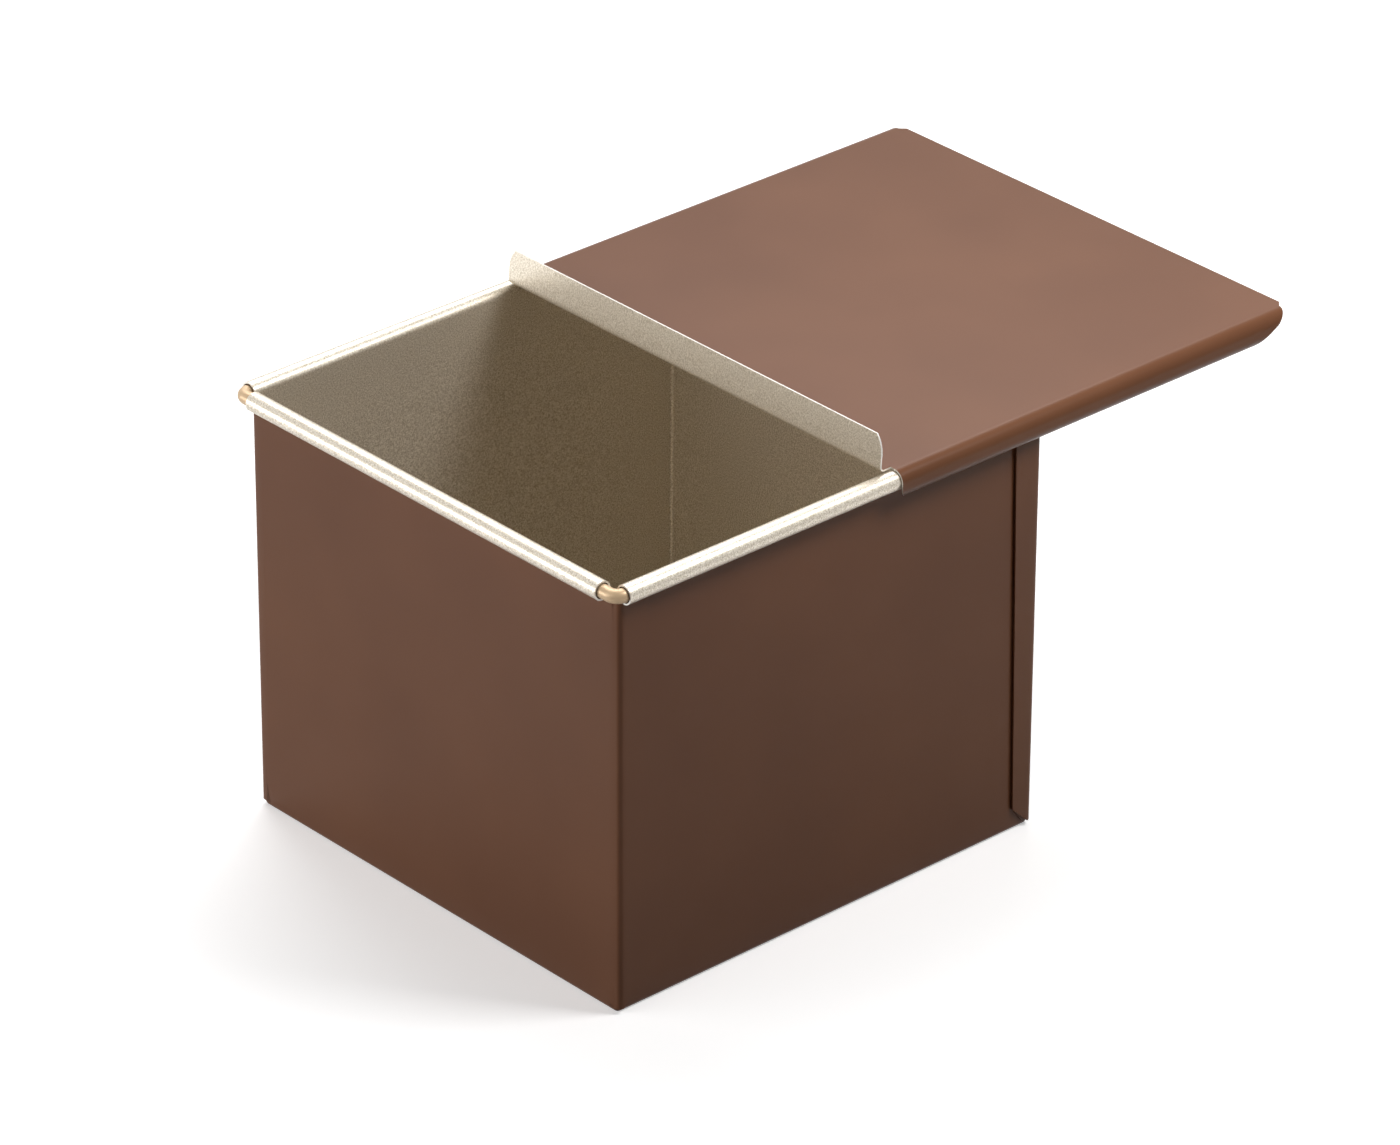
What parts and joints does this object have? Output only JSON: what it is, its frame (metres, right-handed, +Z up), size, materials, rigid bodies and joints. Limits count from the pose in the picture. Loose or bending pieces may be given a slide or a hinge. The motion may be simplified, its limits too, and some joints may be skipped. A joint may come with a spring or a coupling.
{
  "type": "pullman loaf pan",
  "caption": "Straight-sided folded sheet loaf pan with a wired rim, corner pleats and a flat lid that slides along the side rims on channels.",
  "frame": {"origin": "centre of the pan's flat underside", "axes": "+X the way the lid slides open, +Y across the pan, +Z up out of the pan's mouth"},
  "size_m": [0.2076, 0.1338, 0.1181],
  "materials": {
    "pan_sheet": "satin",
    "rim_wire": "satin",
    "lid_sheet": "satin"
  },
  "bodies": {
    "pan": {"pan_body": "pan_sheet", "rim_wire": "rim_wire"},
    "lid": {"lid": "lid_sheet"}
  },
  "joints": [
    {"name": "lid_slide", "type": "slide", "parent": "pan", "child": "lid", "axis": [1, 0, 0], "range_m": [-0.0768, 0.06]}
  ]
}
